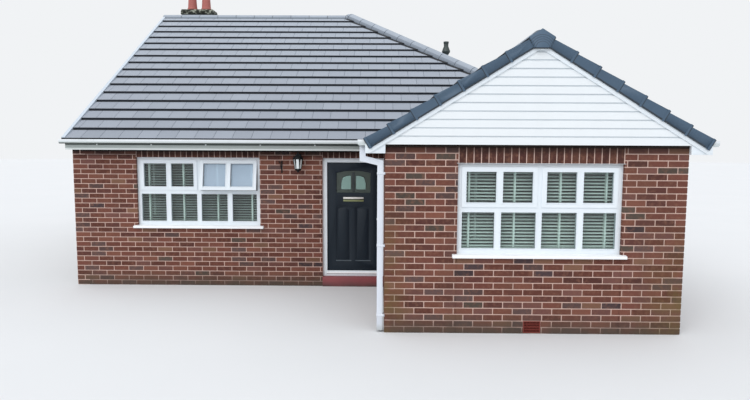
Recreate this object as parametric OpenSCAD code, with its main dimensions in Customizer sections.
// A brick bungalow that ends a row, with a gabled front wing, millimetres.
// The origin is on the ground under the middle of the main house. The front looks along -Y
// and +X is to the right as seen from the front. The left side is a plain party wall.

/* [House plan] */
// Width of the main house from the party face to the right wall
house_w = 9300; // [8800:10:10500]
// Depth of the main house
house_d = 9500; // [8600:10:10400]
// Width of the front wing
wing_w = 3900; // [3500:10:4400]
// How far the wing stands forward of the main front wall
wing_proj = 2550; // [1800:10:3400]
// Thickness of the outside walls
wall_t = 280; // [240:5:340]
// Thickness of the party wall
party_t = 215; // [190:5:300]
// Height of the floor above the ground
floor_z = 170; // [120:5:230]
// Height of the wall tops
wall_h = 2550; // [2490:5:2900]
// Thickness of the ceilings
ceiling_t = 100; // [60:5:160]

/* [Roof] */
// Pitch of every roof slope in degrees
pitch = 31.5; // [26:0.5:36]
// Reach of the eaves beyond the walls
eaves_reach = 260; // [200:5:320]
// Depth from the wall tops to the batten line at the eaves edge
eaves_drop = 35; // [0:1:60]
// Tile courses from the eaves to the main ridge
courses = 17; // [12:1:22]
// Height of a tile above the battens at its upper end
tile_t = 28; // [20:1:40]
// Step in height at the tail of each tile course
tile_step = 30; // [16:1:40]
// Thickness of the tile tails that overhang the gutters
tail_t = 20; // [18:1:34]
// Depth of battens and underlay below the tiles
batten_t = 25; // [19:1:40]
// Reach of the main roof past the face of the party wall
party_reach = 45; // [0:5:90]
// Reach of the roof beyond the wall of the gable
verge_reach = 90; // [80:1:160]
// Radius of the half round ridge and hip tiles
ridge_r = 125; // [110:1:150]
// Rise of the ridge tiles above the tops of the courses
ridge_rise = 7; // [4:1:40]
// Drop of the hip tile centre below the batten line
hip_sink = 6; // [0:1:30]
// Length of one ridge or hip tile
ridge_unit = 450; // [300:10:600]
// Half width of the open valley
valley_half = 55; // [40:1:90]
// Thickness of the valley lining
valley_t = 4; // [3:1:8]

/* [Eaves and gable] */
// Height of the fascia from its foot to the batten line
fascia_drop = 140; // [100:5:230]
// Thickness of the fascia and barge boards
board_t = 20; // [16:1:30]
// Distance from the tile edge back to the fascia
fascia_back = 25; // [20:1:70]
// Thickness of the soffit boards
soffit_t = 10; // [8:1:20]
// Height of the soffit above the foot of the fascia
soffit_rise = 5; // [0:1:30]
// Height of the foot of the gable cladding
clad_z = 2490; // [2380:5:2540]
// Thickness of one cladding board
clad_t = 22; // [18:1:30]
// Thickness of the battens behind the cladding
clad_batten = 38; // [25:1:50]
// Cover of one cladding board
clad_cover = 107; // [80:1:150]
// Depth of the barge board below the roof
barge_drop = 175; // [110:1:200]
// Depth of the verge caps below the batten line
cap_drop = 115; // [80:1:130]
// Thickness of the verge caps
cap_t = 5; // [3:1:8]
// Reach of the verge caps over the tiles
cap_lap = 58; // [40:1:100]
// Reach of the verge caps below the tail of their course
cap_nose = 16; // [8:1:25]

/* [Gutters] */
// Width of the square gutter
gutter_w = 120; // [95:1:135]
// Height of the square gutter
gutter_h = 75; // [60:1:90]
// Bevel along the lower corner of the gutter
gutter_bevel = 20; // [8:1:30]
// Wall thickness of the gutters and pipes
gutter_t = 3; // [2:0.5:5]
// Length of the outlet boxes in the gutters
outlet_l = 150; // [110:5:200]
// Thickness by which the outlet boxes stand out from the gutters
outlet_t = 5; // [3:1:8]
// Width of the square downpipe
pipe_w = 78; // [55:1:90]
// Gap between a downpipe and the wall
pipe_gap = 25; // [15:1:50]
// Length of an outlet below the gutter
outlet_h = 135; // [90:5:200]
// Fall of the middle line of the swan necks
neck_fall = 55; // [30:5:200]
// Height of the pipe foot above the ground
pipe_foot = 25; // [10:1:60]
// Distance from the front corner of the wing to its downpipe
front_pipe_in = 15; // [5:1:60]
// Distance from the rear corner of the house to the middle of its downpipe
rear_pipe_in = 300; // [150:10:600]

/* [Windows] */
// Width of the large windows
window_w = 2150; // [1800:10:2400]
// Width of the small side window
small_w = 1080; // [800:10:1400]
// Width above which a window has four lower lights and two vents
wide_from = 1500; // [1450:10:1700]
// Height of the window heads above the ground
head_z = 2250; // [2150:5:2400]
// Height of the window frame foot above the ground
sill_z = 1065; // [950:5:1200]
// Distance from the party face to the main front window
main_window_x = 1095; // [700:5:1600]
// Distance from the left wall face of the wing to its window
wing_window_x = 940; // [600:5:1200]
// Distance of the rear windows from the ends of the rear wall
rear_window_x = 1300; // [700:10:1800]
// Distance from the main front wall to the small side window
side_window_x = 2850; // [1500:10:4500]
// Set back of the frames from the wall face
reveal = 50; // [30:1:90]
// Depth of the window frames
frame_d = 70; // [60:1:90]
// Face width of the outer frame members
jamb_m = 66; // [50:1:80]
// Face width of the centre mullion and the transom
mullion_m = 74; // [50:1:90]
// Face width of the lower mullions and the bars of the vents
bar_m = 84; // [50:1:100]
// Face width of the vent sashes
sash_m = 52; // [45:1:75]
// Depth of the vent sashes
sash_d = 60; // [50:1:60]
// Lap of the vents over the head of the frame
vent_lap = 10; // [5:1:20]
// Height of the lower lights
light_h = 480; // [380:5:560]
// Thickness of the sealed glass units
glass_t = 24; // [14:1:28]
// Angle of the open vent in degrees
vent_angle = 11; // [3:1:25]
// Thickness of the outside sills
sill_t = 50; // [35:1:70]
// Reach of the sills in front of and beside the opening
sill_reach = 60; // [30:1:90]
// Width of the blind slats
slat_w = 50; // [25:1:60]
// Pitch of the blind slats
slat_pitch = 44; // [30:1:52]
// Tilt of the blind slats in degrees
slat_tilt = 36; // [10:1:65]

/* [Front door] */
// Width of the door frame, which stands against the wing
door_w = 1070; // [950:5:1200]
// Face width of the door frame members beside the leaf
door_m = 60; // [45:1:80]
// Height of the door threshold
threshold_h = 80; // [60:1:110]
// Depth of the door frame
door_frame_d = 70; // [64:1:100]
// Thickness of the door leaf
leaf_t = 46; // [40:1:54]
// Clearance round the door leaf
leaf_gap = 5; // [5:0.5:8]
// Lap of the frame stop over the leaf
leaf_lap = 12; // [8:1:18]
// Width of the glazed panel of the door
door_light_w = 590; // [400:5:640]
// Height of the glazed panel at its sides
door_light_h = 345; // [250:5:420]
// Distance from the head of the leaf to the top of the glazed panel
door_light_drop = 155; // [150:5:260]
// Rise of the arched heads on the door
arch_rise = 40; // [20:1:70]
// Width of one moulded panel
door_panel_w = 250; // [200:5:290]
// Height of the moulded panels at their sides
door_panel_h = 940; // [700:5:960]
// Height of the moulded panels above the foot of the leaf
door_panel_foot = 180; // [150:5:260]
// Gap between the two moulded panels
door_panel_gap = 90; // [40:2:100]
// Width of the sunk band round a moulded panel
panel_band = 35; // [20:1:50]
// Height of the door handle above the floor
handle_h = 1020; // [950:5:1100]
// Reach of the step in front of the wall
step_nose = 35; // [20:1:250]
// Radius of the hinge pins
pin_r = 5; // [4:0.5:7]
// Wall thickness of the hinge knuckles
knuckle_wall = 3; // [2:0.5:4]

/* [Chimney and flue] */
// Distance from the party face to the chimney
chimney_x = 335; // [300:5:700]
// Width of the chimney stack
chimney_w = 745; // [650:5:1100]
// Depth of the chimney stack
chimney_d = 470; // [440:5:600]
// Distance of the chimney behind the ridge line
chimney_back = 150; // [140:5:400]
// Height of the brick stack above the main ridge line
chimney_rise = 115; // [60:5:600]
// Height of the capping
chimney_cap_h = 140; // [80:5:200]
// Height of a chimney pot
pot_h = 430; // [300:5:600]
// Foot diameter of a chimney pot
pot_d = 250; // [200:5:300]
// Distance from the left side of the stack to the first pot
pot_x = 200; // [180:5:400]
// Distance between the middles of the pots
pot_pitch = 350; // [310:5:400]
// Height of the flue terminal
flue_h = 510; // [350:5:700]
// Diameter of the flue terminal at its cage
flue_d = 180; // [140:5:240]
// Distance of the flue terminal in from the eaves of the hip slope
flue_in = 2800; // [2500:10:3100]
// Distance of the flue terminal behind the hip
flue_back = 525; // [400:5:800]

/* [Wall fittings] */
// Distance from the door frame to the lantern
lantern_x = 400; // [250:5:500]
// Height of the middle of the lantern
lantern_z = 2150; // [1900:5:2190]
// Width of the lantern across its corners
lantern_w = 190; // [140:5:230]
// Height of the glass body of the lantern
lantern_h = 190; // [150:5:260]
// Distance from the door frame to the basket bracket
bracket_x = 700; // [600:5:900]
// Height of the bracket arm above the ground
arm_z = 2172; // [1900:5:2300]
// Reach of the bracket arm
arm_reach = 260; // [200:5:350]
// Width of an air brick
air_w = 230; // [150:5:250]
// Height of one brick course
course_h = 85; // [75:1:90]
// Width of a mortar joint
joint_w = 10; // [8:1:12]

/* [Hidden] */

// Smoothness of round parts
round_fn = 48;
// Small overlap that lets a cut pass through a face
eps = 1;
// Slit between two pieces of one node that only meet
slit = 1;
// Clearance between the roof and the pieces fitted under and over it
seat = 0.3;
// Length by which cutting shapes run past the roof
spare = 500;

// Plan lines of the walls
x_left = -house_w / 2;
x_right = house_w / 2;
x_party = x_left + party_t;
x_wing = x_right - wing_w;
y_front = -house_d / 2;
y_rear = house_d / 2;
y_wing = y_front - wing_proj;

// Plan lines of the roof
rise = tan(pitch);
eaves_z = wall_h - eaves_drop;
main_run = house_d / 2 + eaves_reach;
wing_run = wing_w / 2 + eaves_reach;
gauge = main_run / courses;
x_roof = x_left - party_reach;
xe = x_right + eaves_reach;
xwe = x_wing - eaves_reach;
ye = y_front - eaves_reach;
yre = y_rear + eaves_reach;
y_verge = y_wing - verge_reach;
junction = [xe - wing_run, ye + wing_run];
hip_apex = [xe - main_run, 0];
tile_top = tile_t + tile_step;
fascia_z = eaves_z - fascia_drop;
soffit_z = fascia_z + soffit_rise;
valley_shift = valley_half * sqrt(2);
clad_out = clad_batten + clad_t;

// Height of the batten line at a distance in from the eaves edge
function roof_at(d) = eaves_z + d * rise;

// Top of what stands under the roof at the same distance
function under_roof(d) = roof_at(d) - batten_t - seat;

// Saw tooth top line of the tile courses over a run, raised by lift
function tile_line(run, lift = 0) = [
    for (i = [0 : ceil(run / gauge - 0.001) - 1])
        let (a = i * gauge, b = min((i + 1) * gauge, run))
            each [
                [a, roof_at(a) + tile_top + lift],
                [b, roof_at(b) + tile_t + tile_step * (1 - (b - a) / gauge) + lift]
            ]
];

// Section through one slope from the underside of its battens to the tile tops, thinned to
// the tile tails where it overhangs the gutter
function slope_section(run, under) = concat(
    [[0, roof_at(0) + tile_top - tail_t]], tile_line(run),
    [[run, roof_at(run) - under], [fascia_back, roof_at(fascia_back) - under]]
);

// Extrudes a section drawn as [y, z] from x0 to x1
module along_x(x0, x1) {
    translate([x0, 0, 0]) rotate([90, 0, 90]) linear_extrude(x1 - x0) children();
}

// Extrudes a section drawn as [x, z] from y0 to y1
module along_y(y0, y1) {
    translate([0, y1, 0]) rotate([90, 0, 0]) linear_extrude(y1 - y0) children();
}

// Upright prism over a plan outline
module plan_prism(points) {
    linear_extrude(roof_at(main_run) + spare) polygon(points);
}

// Box given by two corners
module span(low, high) {
    translate(low) cube(high - low);
}

// Places a section drawn as [distance from the eaves, z] on each slope
module front_section() {
    along_x(x_roof, xe) translate([ye, 0]) children();
}

module rear_section() {
    along_x(x_roof, xe) translate([yre, 0]) mirror([1, 0]) children();
}

module right_section() {
    along_y(y_verge, yre) translate([xe, 0]) mirror([1, 0]) children();
}

module wing_left_section() {
    along_y(y_verge, y_rear) translate([xwe, 0]) children();
}

// Floors and walls

module main_floor() {
    color("lightgray")
        span([x_party, y_front + wall_t, 0], [x_right - wall_t, y_rear - wall_t, floor_z]);
}

module wing_floor() {
    color("lightgray")
        span([x_wing + wall_t, y_wing + wall_t, 0], [x_right - wall_t, y_front + wall_t, floor_z]);
}

// Opening through a front wall for a window and its sill
module window_hole(x, y, w) {
    span([x, y - eps, sill_z - sill_t], [x + w, y + wall_t + eps, head_z]);
}

door_x = x_wing - door_w;
main_window_left = x_left + main_window_x;
wing_window_left = x_wing + wing_window_x;
rear_window_left = [x_left + rear_window_x, x_right - rear_window_x - window_w];
side_window_y = y_front + side_window_x;

module front_wall() {
    color("#70413a") difference() {
        span([x_party, y_front, 0], [door_x, y_front + wall_t, wall_h]);
        window_hole(main_window_left, y_front, window_w);
    }
}

module door_head_wall() {
    color("#70413a") span([door_x, y_front, head_z], [x_wing, y_front + wall_t, wall_h]);
}

module wing_left_wall() {
    color("#70413a")
        span([x_wing, y_wing + wall_t, 0], [x_wing + wall_t, y_front + wall_t, wall_h]);
}

air_x = x_wing + wing_w / 2 - air_w / 2;
air_z = joint_w;
air_h = 2 * course_h - joint_w;
air_d = 100;

module wing_front_wall() {
    color("#70413a") difference() {
        span([x_wing, y_wing, 0], [x_right, y_wing + wall_t, wall_h]);
        window_hole(wing_window_left, y_wing, window_w);
        span([air_x, y_wing - eps, air_z], [air_x + air_w, y_wing + air_d, air_z + air_h]);
    }
}

module right_wall() {
    color("#70413a") difference() {
        span([x_right - wall_t, y_wing + wall_t, 0], [x_right, y_rear, wall_h]);
        translate([x_right, side_window_y, 0]) rotate(90) window_hole(0, 0, small_w);
    }
}

module rear_wall() {
    color("#70413a") difference() {
        span([x_party, y_rear - wall_t, 0], [x_right - wall_t, y_rear, wall_h]);
        for (x = rear_window_left)
            window_hole(x, y_rear - wall_t, window_w);
    }
}

// Plain gabled wall to the neighbouring house, closing the ends of the eaves
module party_wall() {
    d0 = fascia_back + board_t;
    half = [
        [y_front, 0], [y_front, soffit_z + soffit_t], [ye + d0, soffit_z + soffit_t],
        [ye + d0, under_roof(d0)]
    ];
    other = [for (i = [len(half) - 1 : -1 : 0]) [-half[i].x, half[i].y]];
    color("#8a7a72") along_x(x_left, x_party)
        polygon(concat(half, [[0, under_roof(main_run)]], other));
}

module main_ceiling() {
    color("white")
        span([x_party, y_front + wall_t, wall_h - ceiling_t], [x_right - wall_t, y_rear - wall_t, wall_h]);
}

module wing_ceiling() {
    color("white")
        span([x_wing + wall_t, y_wing + wall_t, wall_h - ceiling_t],
             [x_right - wall_t, y_front + wall_t, wall_h]);
}

// Gable of the wing

// Outline of the gable between its foot and the underside of the roof
module gable_outline(foot) {
    polygon([
        [x_wing, foot], [x_right, foot], [x_right, under_roof(eaves_reach)],
        [junction.x, under_roof(wing_run)], [x_wing, under_roof(eaves_reach)]
    ]);
}

module gable_wall() {
    color("#8a7a72") along_y(y_wing, y_wing + wall_t / 2) gable_outline(wall_h);
}

// Horizontal boards with rebated joints on upright battens
module gable_cladding() {
    boards = ceil((roof_at(wing_run) - clad_z) / clad_cover);
    rebate = clad_t * 0.4;
    face = [
        for (i = [0 : boards - 1])
            let (z = clad_z + i * clad_cover) each [
                [-clad_out, z], [-clad_out, z + clad_cover - 2 * rebate],
                [-clad_out + rebate, z + clad_cover - rebate], [-clad_out + rebate, z + clad_cover]
            ]
    ];
    back = [
        [0, clad_z + boards * clad_cover], [0, clad_z + clad_t],
        [-clad_batten, clad_z + clad_t], [-clad_batten, clad_z]
    ];
    color("#f2f2ee") intersection() {
        along_y(y_wing - clad_out, y_wing) gable_outline(clad_z);
        along_x(x_wing, x_right) translate([y_wing, 0]) polygon(concat(face, back));
    }
}

// Barge board under the left slope of the gable, mirrored for the right slope, with its lower
// end cut level with the foot of the fascia
module barge_boards() {
    y0 = y_wing - clad_out - board_t;
    top = wing_run - slit / 2;
    level = max(0, (barge_drop - fascia_drop) / rise);
    foot = max(fascia_z, roof_at(0) - barge_drop);
    color("white") for (side = [0, 1])
        translate([junction.x, 0, 0]) mirror([side, 0, 0]) translate([-junction.x, 0, 0])
            along_y(y0, y0 + board_t) translate([xwe, 0]) polygon(concat(
                [[0, under_roof(0)], [0, foot]], level > 0 ? [[level, foot]] : [],
                [[top, roof_at(top) - barge_drop], [top, under_roof(top)]]
            ));
}

// Closed ends of the eaves at the feet of the gable
module box_ends() {
    color("white") for (side = [0, 1])
        translate([junction.x, 0, 0]) mirror([side, 0, 0]) translate([-junction.x, 0, 0])
            along_y(y_wing - clad_out, y_wing) translate([xwe, 0]) polygon([
                [fascia_back, fascia_z], [eaves_reach, fascia_z],
                [eaves_reach, under_roof(eaves_reach)], [fascia_back, under_roof(fascia_back)]
            ]);
}

// Eaves boards

// Section of a fascia board, drawn from the eaves edge
module fascia_section() {
    translate([fascia_back, fascia_z])
        square([board_t, under_roof(fascia_back) - fascia_z]);
}

// Section of a soffit board, drawn from the eaves edge
module soffit_section() {
    translate([fascia_back + board_t, soffit_z])
        square([eaves_reach - fascia_back - board_t, soffit_t]);
}

module fascia_boards() {
    d = fascia_back;
    color("#c9cfc6") {
        along_x(x_left, xwe + d - slit) translate([ye, 0]) fascia_section();
        along_x(x_left, xe - d - slit) translate([yre, 0]) mirror([1, 0]) fascia_section();
        along_y(y_wing, yre - d - board_t - slit) translate([xe, 0]) mirror([1, 0]) fascia_section();
        along_y(y_wing, ye + d + board_t) translate([xwe, 0]) fascia_section();
    }
}

module soffit_boards() {
    d = fascia_back + board_t;
    color("white") {
        along_x(x_left, x_wing) translate([ye, 0]) soffit_section();
        along_x(x_left, xe - d) translate([yre, 0]) mirror([1, 0]) soffit_section();
        along_y(y_wing, y_rear - slit) translate([xe, 0]) mirror([1, 0]) soffit_section();
        along_y(y_wing, ye + d - slit) translate([xwe, 0]) soffit_section();
    }
}

// Roof slopes

// Stack outline in plan
chimney_left = x_left + chimney_x;
chimney_front = chimney_back;

module stack_prism(grow, z0, z1) {
    span([chimney_left - grow, chimney_front - grow, z0],
         [chimney_left + chimney_w + grow, chimney_front + chimney_d + grow, z1]);
}

module front_roof() {
    color("#9398a3") intersection() {
        front_section() polygon(slope_section(main_run, batten_t));
        plan_prism([
            [x_roof, ye], [xwe - valley_shift, ye], junction + [-1, 1] * valley_half / sqrt(2),
            hip_apex, [x_roof, 0]
        ]);
    }
}

module rear_roof() {
    color("#9398a3") difference() {
        intersection() {
            rear_section() polygon(slope_section(main_run, batten_t));
            plan_prism([[x_roof, yre], [x_roof, 0], hip_apex, [xe, yre]]);
        }
        stack_prism(0, wall_h, roof_at(main_run) + spare);
    }
}

module hip_roof() {
    color("#9398a3") intersection() {
        right_section() polygon(slope_section(main_run, batten_t));
        plan_prism([[xe, ye], [xe, yre], hip_apex]);
    }
}

module wing_right_roof() {
    color("#9398a3") intersection() {
        right_section() polygon(slope_section(wing_run, batten_t));
        plan_prism([[junction.x, y_verge], [xe, y_verge], [xe, ye], junction]);
    }
}

module wing_left_roof() {
    color("#9398a3") intersection() {
        wing_left_section() polygon(slope_section(wing_run, batten_t));
        plan_prism([
            [xwe, y_verge], [junction.x, y_verge],
            junction - [0, valley_shift], [xwe, ye - valley_shift]
        ]);
    }
}

// Thin lining that shows between the cut tiles of the valley
module valley_lining() {
    d = valley_half / sqrt(2);
    low = roof_at(fascia_back) - batten_t;
    high = roof_at(main_run) - batten_t;
    section = [
        [fascia_back, low], [fascia_back, low + valley_t],
        [main_run, high + valley_t], [main_run, high]
    ];
    color("#6d7075") union() {
        intersection() {
            front_section() polygon(section);
            plan_prism([[xwe - valley_shift, ye], [xwe, ye], junction, junction + [-d, d]]);
        }
        intersection() {
            wing_left_section() polygon(section);
            plan_prism([[xwe, ye], [xwe, ye - valley_shift], junction - [0, valley_shift], junction]);
        }
    }
}

// Half round tile row of a given length, jointed every unit, along +X from the origin
module tile_row(length) {
    joint = 8;
    rotate([0, 90, 0]) difference() {
        cylinder(r = ridge_r, h = length, $fn = round_fn);
        for (s = [ridge_unit : ridge_unit : length - joint])
            translate([0, 0, s]) difference() {
                cylinder(r = ridge_r + eps, h = joint, $fn = round_fn);
                cylinder(r = ridge_r - joint, h = joint, $fn = round_fn);
            }
    }
}

// Everything under the tile tops of a slope, drawn from the eaves edge
module below_tiles(run) {
    polygon(concat([[0, 0]], tile_line(run), [[run + eps, roof_at(run)], [run + eps, 0]]));
}

ridge_z = roof_at(main_run) + tile_top + ridge_rise - ridge_r;
wing_ridge_z = roof_at(wing_run) + tile_top + ridge_rise - ridge_r;
// Top of the cap at the end of the wing ridge, just over the ridge tiles
apex_over = 5;
apex_top = wing_ridge_z + ridge_r + apex_over;
// Distance back from a meeting of ridges at which a ridge row stops
ridge_stop = 60;

module ridge_tiles() {
    color("#a9acb2") {
        difference() {
            translate([x_roof, 0, ridge_z]) tile_row(hip_apex.x - ridge_stop - x_roof);
            front_section() below_tiles(main_run);
            rear_section() below_tiles(main_run);
        }
        difference() {
            translate([junction.x, y_verge + cap_lap, wing_ridge_z]) rotate(90)
                tile_row(junction.y - ridge_r - y_verge - cap_lap);
            wing_left_section() below_tiles(wing_run);
            right_section() below_tiles(wing_run);
        }
    }
}

// Wedge under the tile tails of two slopes, which the hip tiles sit on
module hip_bed(rear) {
    over = main_run + spare;
    bed = [
        [-spare, 0], [-spare, roof_at(-spare) + tile_top], [over, roof_at(over) + tile_top], [over, 0]
    ];
    mirror([0, rear ? 1 : 0, 0]) intersection() {
        along_x(hip_apex.x - 2 * spare, xe + spare) translate([ye, 0]) polygon(bed);
        along_y(ye - spare, main_run) translate([xe, 0]) mirror([1, 0]) polygon(bed);
    }
}

// Row of hip tiles from a plan distance up the slope to the top
module hip_row(start, rear) {
    length = sqrt(2 + rise * rise) * (main_run + spare);
    incline = atan(rise / sqrt(2));
    x0 = hip_apex.x - ridge_stop;
    x1 = xe - start;
    side = rear ? 1 : -1;
    difference() {
        intersection() {
            mirror([0, rear ? 1 : 0, 0]) translate([xe, ye, eaves_z - hip_sink])
                rotate([0, 0, 135]) rotate([0, -incline, 0]) tile_row(length);
            plan_prism([[x0, side * slit], [x1, side * slit], [x1, side * yre], [x0, side * yre]]);
        }
        hip_bed(rear);
    }
}

module hip_tiles() {
    color("#a9acb2") {
        hip_row(wing_run + ridge_stop, false);
        hip_row(ridge_r / 2, true);
    }
}

// Interlocking caps over the tile ends of the gable, one for each course
module verge_caps() {
    count = ceil(wing_run / gauge - 0.001);
    color("#4c5f70") for (side = [0, 1])
        translate([junction.x, 0, 0]) mirror([side, 0, 0]) translate([-junction.x, 0, 0])
            for (i = [0 : count - 1])
                translate([xwe, 0, 0]) verge_cap(i * gauge);
}

// Shift in plan of a point on a line square to the slope, for each unit above the batten line
cap_lean = sin(pitch) * cos(pitch);
// Fall of the course tops against the slope
course_fall = tile_step / gauge;

// Point on the line square to the slope through distance d, at height u above the batten line
function square_point(d, u) = [d - u * cap_lean, roof_at(d) + u * cos(pitch) ^ 2];

// Height u at which that line meets the top of the course from distance c, raised by lift
function square_top(d, c, lift) =
    (tile_top + lift - (d - c) * course_fall) / (1 - cap_lean * course_fall);

// One verge cap over the course that starts at distance c, with its ends square to the slope
module verge_cap(c) {
    a = c + (tile_top + cap_t) * cap_lean - cap_nose;
    b = a + gauge - slit;
    end = c + gauge - 2 * slit;
    end_z = roof_at(end) + tile_t + tile_step * (c + gauge - end) / gauge;
    along_y(y_verge - cap_t, y_verge) to_ridge() polygon([
        square_point(a, square_top(a, c, cap_t)), square_point(b, square_top(b, c, cap_t)),
        square_point(b, -cap_drop), square_point(a, -cap_drop)
    ]);
    along_y(y_verge - cap_t, y_verge + cap_lap) to_ridge() polygon([
        square_point(a, square_top(a, c, cap_t)), [end, end_z + cap_t],
        [end, end_z + seat], square_point(a, square_top(a, c, seat))
    ]);
}

// Keeps what lies below the ridge of a section drawn from the eaves edge
module to_ridge() {
    intersection() {
        children();
        translate([-spare, 0]) square([spare + wing_run - slit, roof_at(wing_run) + spare]);
    }
}

// House shaped cap with stepped arcs that closes the top of the gable
module apex_cap() {
    plate = 14;
    inset = 0.86;
    rings = 4;
    outer_ring = 172;
    ring_step = 28;
    step_t = 4;
    y1 = y_verge - cap_t - plate;
    color("#4c5f70") translate([junction.x, 0, apex_top - apex_h]) {
        along_y(y1, y1 + plate) apex_outline(1);
        for (k = [0 : rings - 1])
            intersection() {
                along_y(y1 - (k + 1) * step_t, y1) apex_outline(inset);
                translate([0, y1, 0]) rotate([90, 0, 0])
                    cylinder(r = outer_ring - k * ring_step, h = rings * step_t, $fn = 2 * round_fn);
            }
    }
}

// Height of the cap at the top of the gable
apex_h = 249;

// Outline of that cap above the middle of its foot, scaled by a share
module apex_outline(share) {
    half = 163;
    foot_half = 100;
    shoulder = apex_h - half * rise;
    polygon(share * [
        [-foot_half, 0], [foot_half, 0], [half, shoulder], [0, apex_h], [-half, shoulder]
    ]);
}

// Thin strip that finishes the tiles at the party wall
module party_verge() {
    strip_w = 60;
    cover = 14;
    strip = concat(
        tile_line(main_run - ridge_r),
        [[main_run - ridge_r, roof_at(main_run - ridge_r) + tile_top + cover],
         [0, roof_at(0) + tile_top + cover]]
    );
    color("#c2c4c6") {
        along_x(x_roof, x_roof + strip_w) translate([ye, 0]) polygon(strip);
        along_x(x_roof, x_roof + strip_w) translate([yre, 0]) mirror([1, 0]) polygon(strip);
    }
}

// Gutters and downpipes

// Clearance of the gutters below the tile tails and the slopes
gutter_gap = 2;
back_gap = 2;
gutter_top = roof_at(0) + tile_top - tail_t - gutter_gap;
gutter_foot = gutter_top - gutter_h;
gutter_back = roof_at(fascia_back) - batten_t - back_gap;
gutter_out = gutter_w - fascia_back;

// Outline of the gutter hung on the face of the fascia, drawn from the eaves edge and grown
// at its front and foot
module gutter_outline(grow = 0) {
    front = -gutter_out - grow;
    foot = gutter_foot - grow;
    polygon([
        [front, foot + gutter_bevel], [front + gutter_bevel, foot], [fascia_back, foot],
        [fascia_back, gutter_back], [0, gutter_top], [front, gutter_top]
    ]);
}

// Section of the channel
module gutter_section(grow = 0) {
    // Bevel of the inner corner that keeps the wall as thick as the rest
    bevel = gutter_bevel - (2 - sqrt(2)) * gutter_t;
    front = gutter_t - gutter_out;
    back = fascia_back - gutter_t;
    foot = gutter_foot + gutter_t;
    difference() {
        gutter_outline(grow);
        polygon([
            [front, foot + bevel], [front + bevel, foot], [back, foot],
            [back, gutter_top + eps], [front, gutter_top + eps]
        ]);
    }
}

module gutters() {
    y0 = y_wing - clad_out;
    y1 = ye - slit;
    x1 = xe + gutter_out;
    half_l = outlet_l / 2;
    color("white") {
        along_x(x_roof, xwe - gutter_out - slit) translate([ye, 0]) gutter_section();
        along_x(x_roof, x_roof + gutter_t) translate([ye, 0]) gutter_outline();
        translate([0, yre, 0]) mirror([0, 1, 0]) {
            along_x(x_roof, x1) gutter_section();
            along_x(x_roof, x_roof + gutter_t) gutter_outline();
            along_x(x1 - gutter_t, x1) gutter_outline();
        }
        translate([xe, 0, 0]) mirror([1, 0, 0]) {
            along_y(y0, yre - fascia_back - slit) gutter_section();
            along_y(y0, y0 + gutter_t) gutter_outline();
            along_y(rear_pipe.y - half_l, rear_pipe.y + half_l) gutter_section(outlet_t);
        }
        translate([xwe, 0, 0]) {
            along_y(y0, y1) gutter_section();
            along_y(y0, y0 + gutter_t) gutter_outline();
            along_y(y1 - gutter_t, y1) gutter_outline();
            along_y(max(y0, front_pipe.y - half_l), front_pipe.y + half_l) gutter_section(outlet_t);
        }
    }
}

// Square pipe from z0 to z1 with its centre on the given plan point
module pipe(p, z0, z1) {
    translate([p.x - pipe_w / 2, p.y - pipe_w / 2, z0]) difference() {
        cube([pipe_w, pipe_w, z1 - z0]);
        translate([gutter_t, gutter_t, -eps])
            cube([pipe_w - 2 * gutter_t, pipe_w - 2 * gutter_t, z1 - z0 + 2 * eps]);
    }
}

// Pipe clip about a pipe at the origin, with its plate against a wall that lies along +X
module pipe_clip() {
    clip_h = 30;
    band = 4;
    ear = 25;
    difference() {
        translate([-pipe_w / 2 - band, -pipe_w / 2 - band, 0])
            cube([pipe_w + band + pipe_gap, pipe_w + 2 * band, clip_h]);
        translate([-pipe_w / 2, -pipe_w / 2, -eps]) cube([pipe_w, pipe_w, clip_h + 2 * eps]);
    }
    translate([pipe_w / 2 + pipe_gap - band, -pipe_w / 2 - ear, 0])
        cube([band, pipe_w + 2 * ear, clip_h]);
}

// Plan points of the downpipes and of the outlets above them: one on the left wall of the wing
// at its front corner, and one on the right wall at its rear corner
front_pipe = [x_wing - pipe_gap - pipe_w / 2, y_wing + pipe_w / 2 + front_pipe_in];
front_outlet = [xwe - gutter_out + gutter_w / 2, front_pipe.y];
rear_pipe = [x_right + pipe_gap + pipe_w / 2, y_rear - rear_pipe_in];
rear_outlet = [xe + gutter_out - gutter_w / 2, rear_pipe.y];
outlet_foot = gutter_foot - outlet_t - outlet_h;

// Distance from a mitre of a swan neck to its corners, measured along the pipe
function mitre_h(run) = pipe_w / 2 * tan(atan2(run, neck_fall) / 2);

// Pipe from an outlet over a swan neck and down beside the wall
module downpipe(outlet, pipe_at) {
    // Heights of the two lower clips and distance of the third from the top of the pipe
    clip_low = 215;
    clip_mid = 1150;
    clip_drop = 120;
    side = pipe_at.x > outlet.x ? 1 : -1;
    run = abs(pipe_at.x - outlet.x);
    h = pipe_w / 2;
    z0 = outlet_foot;
    z1 = z0 - neck_fall - 2 * mitre_h(run);
    pipe(outlet, z0, gutter_foot - outlet_t);
    translate([outlet.x, 0, 0]) mirror([side < 0 ? 1 : 0, 0, 0])
        along_y(outlet.y - h, outlet.y + h) polygon([
            [-h, z0], [h, z0], [run + h, z1 + 2 * mitre_h(run)], [run + h, z1],
            [run - h, z1], [-h, z0 - 2 * mitre_h(run)]
        ]);
    pipe(pipe_at, pipe_foot, z1);
    for (z = [clip_low, clip_mid, z1 - clip_drop])
        translate([pipe_at.x, pipe_at.y, z]) mirror([side < 0 ? 1 : 0, 0, 0]) pipe_clip();
}

module front_downpipe() {
    color("white") downpipe(front_outlet, front_pipe);
}

module rear_downpipe() {
    color("white") downpipe(rear_outlet, rear_pipe);
}

// Windows, drawn with the foot of the frame at the origin and its face on y = 0

window_h = head_z - sill_z;
upper_z = light_h + jamb_m + mullion_m;
vent_h = window_h - jamb_m + vent_lap - upper_z;

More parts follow.
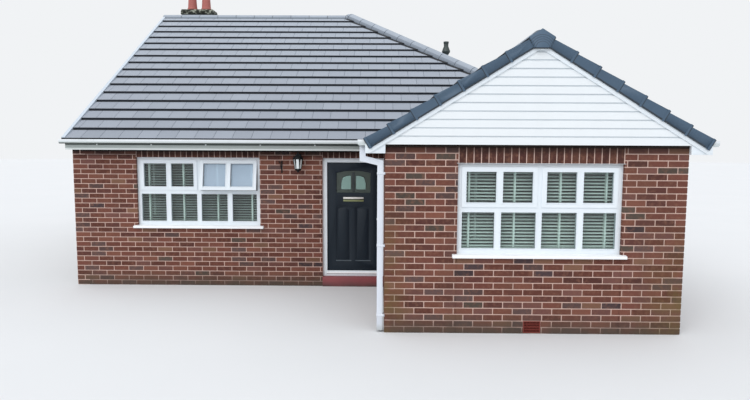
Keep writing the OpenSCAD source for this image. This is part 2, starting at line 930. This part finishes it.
// Glass openings of the lower lights as [x0, x1]
function lower_lights(w) =
    let (bays = w > wide_from ? 4 : 2, step = w / bays)
        [for (i = [0 : bays - 1]) [
            i == 0 ? jamb_m : i * step + (i * 2 == bays ? mullion_m : bar_m) / 2,
            i == bays - 1 ? w - jamb_m : (i + 1) * step - ((i + 1) * 2 == bays ? mullion_m : bar_m) / 2
        ]];

// Openings of the vents as [x0, x1]
function vents(w) = w > wide_from
    ? [[jamb_m, w / 2 - mullion_m / 2], [w / 2 + mullion_m / 2, w - jamb_m]]
    : [[jamb_m, w - jamb_m]];

// Outer frame with its lower lights and the openings of the vents
module window_frame(w) {
    difference() {
        cube([w, frame_d, window_h]);
        for (l = lower_lights(w))
            translate([l[0], -eps, jamb_m])
                cube([l[1] - l[0], frame_d + 2 * eps, light_h]);
        for (v = vents(w))
            translate([v[0], -eps, upper_z])
                cube([v[1] - v[0], frame_d + 2 * eps, vent_h]);
    }
}

// Sash of one vent with its bar
module vent_sash(w) {
    difference() {
        cube([w, sash_d, vent_h]);
        for (s = [[sash_m, w / 2 - bar_m / 2], [w / 2 + bar_m / 2, w - sash_m]])
            translate([s[0], -eps, sash_m])
                cube([s[1] - s[0], frame_d, vent_h - 2 * sash_m]);
    }
}

module vent_glass(w) {
    for (s = [[sash_m, w / 2 - bar_m / 2], [w / 2 + bar_m / 2, w - sash_m]])
        translate([s[0], (frame_d - glass_t) / 2, sash_m])
            cube([s[1] - s[0], glass_t, vent_h - 2 * sash_m]);
}

module fixed_glass(w) {
    for (l = lower_lights(w))
        translate([l[0], (frame_d - glass_t) / 2, jamb_m])
            cube([l[1] - l[0], glass_t, light_h]);
}

// Puts a vent into opening v, turned out by an angle about its upper front edge
module vent_place(v, angle) {
    translate([v[0], 0, upper_z + vent_h]) rotate([-angle, 0, 0]) translate([0, 0, -vent_h])
        children();
}

module closed_window(w) {
    window_frame(w);
    for (v = vents(w))
        vent_place(v, 0) vent_sash(v[1] - v[0]);
}

module closed_glass(w) {
    fixed_glass(w);
    for (v = vents(w))
        vent_place(v, 0) vent_glass(v[1] - v[0]);
}

// Blind with a head rail, tilted slats, a foot rail and ladder tapes
module blind(w) {
    side_gap = 20;
    back_gap = 5;
    blind_w = w - 2 * side_gap;
    rail_h = 40;
    rail_w = slat_w + 6;
    foot_h = 14;
    tape_w = 38;
    tapes = 4;
    tape_in = 150;
    tape_pitch = (blind_w - 2 * tape_in) / (tapes - 1);
    sheet = 2;
    rail_z = window_h - rail_h;
    count = floor((rail_z - foot_h) / slat_pitch) - 1;
    foot_z = rail_z - (count + 0.5) * slat_pitch - foot_h;
    tape_foot = foot_z + foot_h / 2;
    reach = slat_w / 2 * cos(slat_tilt);
    translate([side_gap, frame_d + slat_w + back_gap, 0]) {
        translate([0, -rail_w / 2, rail_z]) cube([blind_w, rail_w, rail_h]);
        for (i = [1 : count])
            translate([0, 0, rail_z - i * slat_pitch]) rotate([slat_tilt, 0, 0])
                translate([0, -slat_w / 2, -sheet / 2]) cube([blind_w, slat_w, sheet]);
        translate([0, -slat_w / 2, foot_z]) cube([blind_w, slat_w, foot_h]);
        for (k = [0 : tapes - 1], front = [-1, 1])
            translate([tape_in + k * tape_pitch - tape_w / 2, front * reach - sheet / 2, tape_foot])
                cube([tape_w, sheet, rail_z + rail_h / 2 - tape_foot]);
    }
}

// Places a window piece in a wall
module in_main_window() {
    translate([main_window_left, y_front + reveal, sill_z]) children();
}

module in_wing_window() {
    translate([wing_window_left, y_wing + reveal, sill_z]) children();
}

module in_rear_window(x, w) {
    translate([x + w, y_rear - reveal, sill_z]) rotate(180) children();
}

module in_side_window() {
    translate([x_right - reveal, side_window_y, sill_z]) rotate(90) children();
}

module front_window_frame() {
    color("white") in_main_window() {
        window_frame(window_w);
        vent_place(vents(window_w)[0], 0) vent_sash(vents(window_w)[0][1] - vents(window_w)[0][0]);
    }
}

module front_open_vent() {
    v = vents(window_w)[1];
    color("white") in_main_window() vent_place(v, vent_angle) vent_sash(v[1] - v[0]);
}

module front_window_glass() {
    v = vents(window_w);
    color("lightblue", 0.4) in_main_window() {
        fixed_glass(window_w);
        vent_place(v[0], 0) vent_glass(v[0][1] - v[0][0]);
        vent_place(v[1], vent_angle) vent_glass(v[1][1] - v[1][0]);
    }
}

module front_window_blind() {
    color("#d8d8c8") in_main_window() blind(window_w);
}

module wing_window_frame() {
    color("white") in_wing_window() closed_window(window_w);
}

module wing_window_glass() {
    color("lightblue", 0.4) in_wing_window() closed_glass(window_w);
}

module wing_window_blind() {
    color("#d8d8c8") in_wing_window() blind(window_w);
}

module rear_window_frames() {
    color("white") {
        for (x = rear_window_left)
            in_rear_window(x, window_w) closed_window(window_w);
        in_side_window() closed_window(small_w);
    }
}

module rear_window_glass() {
    color("lightblue", 0.4) {
        for (x = rear_window_left)
            in_rear_window(x, window_w) closed_glass(window_w);
        in_side_window() closed_glass(small_w);
    }
}

// Sill under a frame, through the wall and out over its face
module sill(w) {
    fall = 12;
    translate([0, -reveal, -sill_t]) cube([w, wall_t, sill_t]);
    translate([-sill_reach, 0, 0]) rotate([90, 0, 90]) linear_extrude(w + 2 * sill_reach) polygon([
        [-reveal, 0], [-reveal - sill_reach, -fall], [-reveal - sill_reach, -sill_t], [-reveal, -sill_t]
    ]);
}

module window_sills() {
    color("white") {
        in_main_window() sill(window_w);
        in_wing_window() sill(window_w);
        for (x = rear_window_left)
            in_rear_window(x, window_w) sill(window_w);
        in_side_window() sill(small_w);
    }
}

// Front door

door_face = y_front + reveal;
door_back = door_face + door_frame_d;
door_foot = floor_z + threshold_h;
leaf_x = door_x + door_m + leaf_gap;
leaf_w = door_w - 2 * door_m - 2 * leaf_gap;
leaf_z = door_foot + leaf_gap;
leaf_h = head_z - door_m - 2 * leaf_gap - door_foot;
leaf_y = door_back - leaf_t;

module door_step() {
    color("#8a3a3d") span([door_x, y_front - step_nose, 0], [x_wing, y_front + wall_t, floor_z]);
}

module door_frame() {
    lap = leaf_gap + leaf_lap;
    color("white") difference() {
        span([door_x, door_face, floor_z], [x_wing, door_back, head_z]);
        span([leaf_x - leaf_gap, leaf_y - leaf_gap, door_foot],
             [leaf_x + leaf_w + leaf_gap, door_back + eps, leaf_z + leaf_h + leaf_gap]);
        span([leaf_x - leaf_gap + lap, door_face - eps, door_foot + lap],
             [leaf_x + leaf_w + leaf_gap - lap, door_back, leaf_z + leaf_h + leaf_gap - lap]);
    }
}

// Opening with a flat foot and a segmental arched head, centred on x = 0
module arched(w, h, arch) {
    r = (w * w / 4 + arch * arch) / (2 * arch);
    intersection() {
        translate([-w / 2, 0]) square([w, h + arch]);
        union() {
            translate([-w, 0]) square([2 * w, h - arch]);
            translate([0, h + arch - r]) circle(r = r, $fn = 96);
        }
    }
}

light_z = leaf_z + leaf_h - door_light_drop - door_light_h - arch_rise;
light_x = leaf_x + leaf_w / 2;
panel_z = leaf_z + door_panel_foot;

module door_leaf() {
    panel_in = 6;
    inner_rise = arch_rise * (door_panel_w - 2 * panel_band) / door_panel_w;
    color("#242b31") difference() {
        span([leaf_x, leaf_y, leaf_z], [leaf_x + leaf_w, leaf_y + leaf_t, leaf_z + leaf_h]);
        along_y(leaf_y - eps, leaf_y + leaf_t + eps) translate([light_x, light_z])
            arched(door_light_w, door_light_h, arch_rise);
        for (side = [-1, 1]) {
            px = light_x + side * (door_panel_w + door_panel_gap) / 2;
            along_y(leaf_y - eps, leaf_y + panel_in) translate([px, panel_z]) difference() {
                arched(door_panel_w, door_panel_h, arch_rise);
                translate([0, panel_band])
                    arched(door_panel_w - 2 * panel_band, door_panel_h - 2 * panel_band, inner_rise);
            }
        }
    }
}

module door_glass() {
    unit_t = 20;
    y0 = leaf_y + (leaf_t - unit_t) / 2;
    color("#cfe0d0") along_y(y0, y0 + unit_t)
        translate([light_x, light_z]) arched(door_light_w, door_light_h, arch_rise);
}

module letter_plate() {
    plate_w = 355;
    plate_h = 76;
    plate_t = 9;
    flap_w = 300;
    flap_h = 42;
    flap_rise = 4;
    z = (light_z + panel_z + door_panel_h + arch_rise) / 2;
    color("silver") translate([light_x, leaf_y, z]) {
        span([-plate_w / 2, -plate_t, -plate_h / 2], [plate_w / 2, 0, plate_h / 2]);
        span([-flap_w / 2, -plate_t - flap_rise, -flap_h / 2], [flap_w / 2, -plate_t, flap_h / 2]);
    }
}

// Knob on a long back plate on one face, growing along +Y
module knob() {
    plate_w = 30;
    plate_t = 9;
    below = 150;
    above = 90;
    neck_r = 9;
    neck_l = 26;
    knob_r = 25;
    knob_t = 20;
    lock_z = -95;
    lock_rise = 5;
    translate([-plate_w / 2, 0, -below]) cube([plate_w, plate_t, above + below]);
    translate([0, plate_t, 0]) rotate([-90, 0, 0]) {
        cylinder(r = neck_r, h = neck_l, $fn = round_fn);
        translate([0, 0, neck_l]) cylinder(r = knob_r, h = knob_t, $fn = round_fn);
    }
    translate([0, 0, lock_z]) rotate([-90, 0, 0])
        cylinder(r = neck_r, h = plate_t + lock_rise, $fn = round_fn);
}

module door_handle() {
    backset = 40;
    hx = leaf_x + leaf_w - backset;
    hz = floor_z + handle_h;
    color("silver") {
        translate([hx, leaf_y, hz]) mirror([0, 1, 0]) knob();
        translate([hx, leaf_y + leaf_t, hz]) knob();
    }
}

// Hinges on the inner face at the left edge of the leaf
hinge_h = 100;
hinge_flap = 40;
flap_t = 3;
flap_gap = 1.5;
pin_clear = 0.05;
knuckle_r = pin_r + knuckle_wall;
hinge_x = leaf_x - leaf_gap / 2;
hinge_y = door_back + knuckle_r + seat;
hinge_in = 200;
hinge_zs = [
    leaf_z + hinge_in, leaf_z + (leaf_h - hinge_h) / 2, leaf_z + leaf_h - hinge_in - hinge_h
];
knuckle_h = hinge_h / 3;
knuckle_slit = 0.5;

module frame_hinges() {
    color("silver") for (z = hinge_zs)
        translate([hinge_x, hinge_y, z]) {
            for (k = [0, 2])
                translate([0, 0, k * knuckle_h]) {
                    cylinder(r = knuckle_r, h = knuckle_h, $fn = round_fn);
                    translate([-knuckle_r - flap_gap, -knuckle_r - seat, 0])
                        cube([knuckle_r - flap_gap, flap_t, knuckle_h]);
                }
            cylinder(r = pin_r, h = hinge_h, $fn = round_fn);
            translate([-hinge_flap, -knuckle_r - seat, 0])
                cube([hinge_flap - knuckle_r - flap_gap, flap_t, hinge_h]);
        }
}

module leaf_hinges() {
    color("silver") for (z = hinge_zs)
        translate([hinge_x, hinge_y, z]) {
            difference() {
                union() {
                    translate([0, 0, knuckle_h + knuckle_slit])
                        cylinder(r = knuckle_r, h = knuckle_h - 2 * knuckle_slit, $fn = round_fn);
                    translate([2 * flap_gap, -knuckle_r - seat, knuckle_h + knuckle_slit])
                        cube([knuckle_r, flap_t, knuckle_h - 2 * knuckle_slit]);
                }
                translate([0, 0, -eps])
                    cylinder(r = pin_r + pin_clear, h = hinge_h + 2 * eps, $fn = round_fn);
            }
            translate([knuckle_r + flap_gap, -knuckle_r - seat, 0])
                cube([hinge_flap - knuckle_r - flap_gap, flap_t, hinge_h]);
        }
}

// Wall fittings

lantern_out = 150;
lantern_at = [door_x - lantern_x, y_front - lantern_out];
lantern_foot = lantern_z - lantern_h / 2;
lantern_head = lantern_z + lantern_h / 2;
lantern_r = lantern_w / 2;
// Shares of the lantern's radius that give the taper of its body
foot_taper = 0.62;
head_taper = 0.94;
bar_taper = 0.1;

module wall_lantern() {
    base_h = 22;
    drop_h = 26;
    hood_h = 26;
    crown_h = 46;
    finial_h = 34;
    arm_w = 24;
    arm_rise = 34;
    plate_w = 76;
    plate_t = 14;
    color("#1c1d1f") {
        translate([lantern_at.x, lantern_at.y, lantern_foot - base_h]) {
            cylinder(r1 = lantern_r * 0.42, r2 = lantern_r * foot_taper, h = base_h, $fn = 6);
            translate([0, 0, -drop_h]) cylinder(r = lantern_r * 0.2, h = drop_h, $fn = 24);
        }
        lantern_bars();
        translate([lantern_at.x, lantern_at.y, lantern_head]) {
            cylinder(r1 = lantern_r, r2 = lantern_r * 0.72, h = hood_h, $fn = 6);
            translate([0, 0, hood_h])
                cylinder(r1 = lantern_r * 0.6, r2 = lantern_r * 0.3, h = crown_h, $fn = 6);
            translate([0, 0, hood_h + crown_h])
                cylinder(r = lantern_r * 0.14, h = finial_h, $fn = 16);
        }
        span([lantern_at.x - arm_w / 2, lantern_at.y, lantern_head + arm_rise],
             [lantern_at.x + arm_w / 2, y_front, lantern_head + arm_rise + arm_w]);
        span([lantern_at.x - plate_w / 2, y_front - plate_t, lantern_z - 20],
             [lantern_at.x + plate_w / 2, y_front, lantern_head + arm_rise + arm_w + 12]);
    }
}

// Six sloping bars at the corners of the lantern glass
module lantern_bars() {
    rail = 14;
    pane = 0.52;
    translate([lantern_at.x, lantern_at.y, lantern_foot]) difference() {
        cylinder(r1 = lantern_r * foot_taper, r2 = lantern_r * head_taper, h = lantern_h, $fn = 6);
        translate([0, 0, -eps])
            cylinder(r1 = lantern_r * (foot_taper - bar_taper), r2 = lantern_r * (head_taper - bar_taper),
                     h = lantern_h + 2 * eps, $fn = 6);
        for (a = [0 : 60 : 300])
            rotate(a + 30) translate([0, -lantern_r * pane / 2, rail])
                cube([lantern_r * 2, lantern_r * pane, lantern_h - 2 * rail]);
    }
}

module lantern_glass() {
    play = 0.01;
    color("#e8ecec", 0.5) translate([lantern_at.x, lantern_at.y, lantern_foot])
        cylinder(r1 = lantern_r * (foot_taper - bar_taper - play),
                 r2 = lantern_r * (head_taper - bar_taper - play), h = lantern_h, $fn = 6);
}

module basket_bracket() {
    x = door_x - bracket_x;
    bar = 12;
    plate_w = 24;
    plate_t = 6;
    plate_below = 187;
    plate_above = 28;
    stay_drop = 162;
    stay_run = 190;
    tip_rise = 33;
    y1 = y_front - plate_t;
    color("#1c1d1f") {
        span([x - plate_w / 2, y1, arm_z - plate_below], [x + plate_w / 2, y_front, arm_z + plate_above]);
        span([x - bar / 2, y_front - arm_reach, arm_z], [x + bar / 2, y1, arm_z + bar]);
        along_x(x - bar / 2, x + bar / 2) polygon([
            [y1, arm_z - stay_drop], [y1, arm_z - stay_drop + bar],
            [y_front - stay_run, arm_z], [y_front - stay_run - bar, arm_z]
        ]);
        translate([x - bar / 2, y_front - arm_reach - bar, arm_z]) cube([bar, bar, tip_rise]);
    }
}

// Louvred air brick low in the front of the wing
module air_bricks() {
    slots = 9;
    rim = 14;
    proud = 2;
    slot_d = 16;
    step = (air_h - 2 * rim) / slots;
    y0 = y_wing - proud;
    color("#a5543a") difference() {
        span([air_x, y0, air_z], [air_x + air_w, y_wing + air_d, air_z + air_h]);
        for (i = [0 : slots - 1])
            along_x(air_x + rim, air_x + air_w - rim) translate([0, air_z + rim + i * step]) polygon([
                [y0 - eps, 0], [y0 + slot_d, 0.45 * step], [y0 + slot_d, 0.7 * step], [y0 - eps, 0.8 * step]
            ]);
    }
}

// Chimney and flue

stack_top = roof_at(main_run) + chimney_rise;

module chimney_stack() {
    color("#5c3a33") stack_prism(0, wall_h, stack_top);
}

// Oversailing cap with a sloped mortar bed
module chimney_cap() {
    over = 25;
    bed = 63;
    color("#57553f") {
        stack_prism(over, stack_top, stack_top + chimney_cap_h - bed);
        translate([chimney_left - over, chimney_front - over, stack_top + chimney_cap_h - bed])
            rotate([90, 0, 90]) linear_extrude(chimney_w + 2 * over) polygon([
                [0, 0], [chimney_d + 2 * over, 0], [chimney_d + 2 * over - bed, bed], [bed, bed]
            ]);
    }
}

// Tapered clay pots, open at the top
module chimney_pots() {
    r = pot_d / 2;
    collar = 50;
    rim = 0.84 * r;
    bore = 0.62 * r;
    seal_h = 170;
    color("#a4573c") for (x = [pot_x, pot_x + pot_pitch])
        translate([chimney_left + x, chimney_front + chimney_d / 2, stack_top + chimney_cap_h])
            rotate_extrude($fn = round_fn) polygon([
                [0, 0], [r, 0], [r, collar], [0.9 * r, collar + 10],
                [0.74 * r, pot_h - collar - 10], [rim, pot_h - collar],
                [rim, pot_h], [bore, pot_h], [bore, seal_h], [0, seal_h]
            ]);
}

// Upstand of sheet metal round the stack where it passes the tiles
module chimney_flashing() {
    lead = 4;
    height = 150;
    color("#7c7f84") difference() {
        intersection() {
            rear_section() polygon([
                [0, roof_at(0)], [0, roof_at(0) + tile_top + height],
                [main_run, roof_at(main_run) + tile_top + height], [main_run, roof_at(main_run)]
            ]);
            stack_prism(lead, wall_h, stack_top);
        }
        stack_prism(0, wall_h, stack_top + spare);
        rear_section() below_tiles(main_run);
    }
}

flue_at = [xe - flue_in, ye + flue_in + flue_back];

// Ridged terminal of a gas flue on the hip slope
module flue_terminal() {
    r = flue_d / 2;
    root = 100;
    tube = 0.55 * r;
    neck = 0.56 * r;
    lid = 0.64 * r;
    color("#4d524c") difference() {
        translate([flue_at.x, flue_at.y, roof_at(flue_in)]) rotate_extrude($fn = round_fn) polygon([
            [0, -root], [tube, -root], [tube, 0.44 * flue_h], [r, 0.56 * flue_h],
            [r, 0.6 * flue_h], [neck, 0.8 * flue_h], [neck, 0.9 * flue_h],
            [lid, 0.93 * flue_h], [lid, flue_h], [0, flue_h]
        ]);
        right_section() below_tiles(main_run);
    }
}

main_floor();
wing_floor();
front_wall();
door_head_wall();
wing_left_wall();
wing_front_wall();
right_wall();
rear_wall();
party_wall();
main_ceiling();
wing_ceiling();
gable_wall();
gable_cladding();
barge_boards();
box_ends();
fascia_boards();
soffit_boards();
front_roof();
rear_roof();
hip_roof();
wing_left_roof();
wing_right_roof();
ridge_tiles();
hip_tiles();
valley_lining();
verge_caps();
apex_cap();
party_verge();
gutters();
front_downpipe();
rear_downpipe();
front_window_frame();
front_open_vent();
front_window_glass();
front_window_blind();
wing_window_frame();
wing_window_glass();
wing_window_blind();
rear_window_frames();
rear_window_glass();
window_sills();
door_step();
door_frame();
frame_hinges();
door_leaf();
door_glass();
letter_plate();
door_handle();
leaf_hinges();
wall_lantern();
lantern_glass();
basket_bracket();
air_bricks();
chimney_stack();
chimney_cap();
chimney_pots();
chimney_flashing();
flue_terminal();
